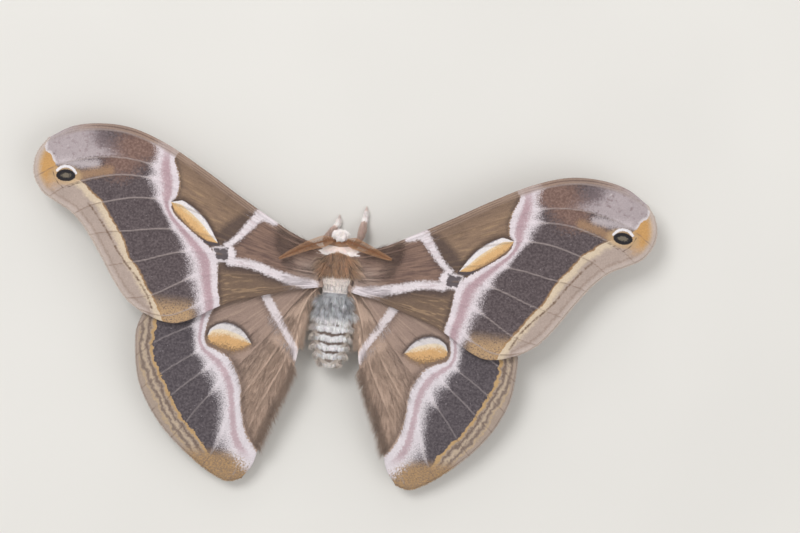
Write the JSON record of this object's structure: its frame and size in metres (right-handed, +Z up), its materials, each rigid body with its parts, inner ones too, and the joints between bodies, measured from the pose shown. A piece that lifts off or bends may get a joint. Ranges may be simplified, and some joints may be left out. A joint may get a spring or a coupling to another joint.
{
  "type": "ailanthus silkmoth",
  "caption": "Life-size ailanthus silkmoth at rest with broad patterned wings spread flat, furred body, feathered antennae and legs on the floor.",
  "frame": {"origin": "on the floor, under the middle of the bounding box of the whole moth", "axes": "+X to the moth's right wing tip, +Y forwards past the head, +Z up from the floor"},
  "size_m": [0.1248, 0.0694, 0.0105],
  "materials": {
    "thorax_fur": "matt olive-brown fur with a white collar band",
    "abdomen_fur": "pale grey fur with rows of white scale tufts",
    "head_fur": "matt white fur",
    "eye": "glossy, finely faceted",
    "antenna": "matt orange-brown horn",
    "wing_scales": "matt, powdery scales, brown and olive with white and pink bands",
    "leg_fur": "matt pinkish-brown fur, paler at the feet"
  },
  "bodies": {
    "root": {"thorax": "thorax_fur", "abdomen": "abdomen_fur", "head": "head_fur", "eye_left": "eye", "eye_right": "eye", "antenna_left": "antenna", "antenna_right": "antenna", "forewing_left": "wing_scales", "forewing_right": "wing_scales", "hindwing_left": "wing_scales", "hindwing_right": "wing_scales", "leg_front_left": "leg_fur", "leg_front_right": "leg_fur", "leg_middle_left": "leg_fur", "leg_middle_right": "leg_fur", "leg_hind_left": "leg_fur", "leg_hind_right": "leg_fur"}
  },
  "joints": []
}
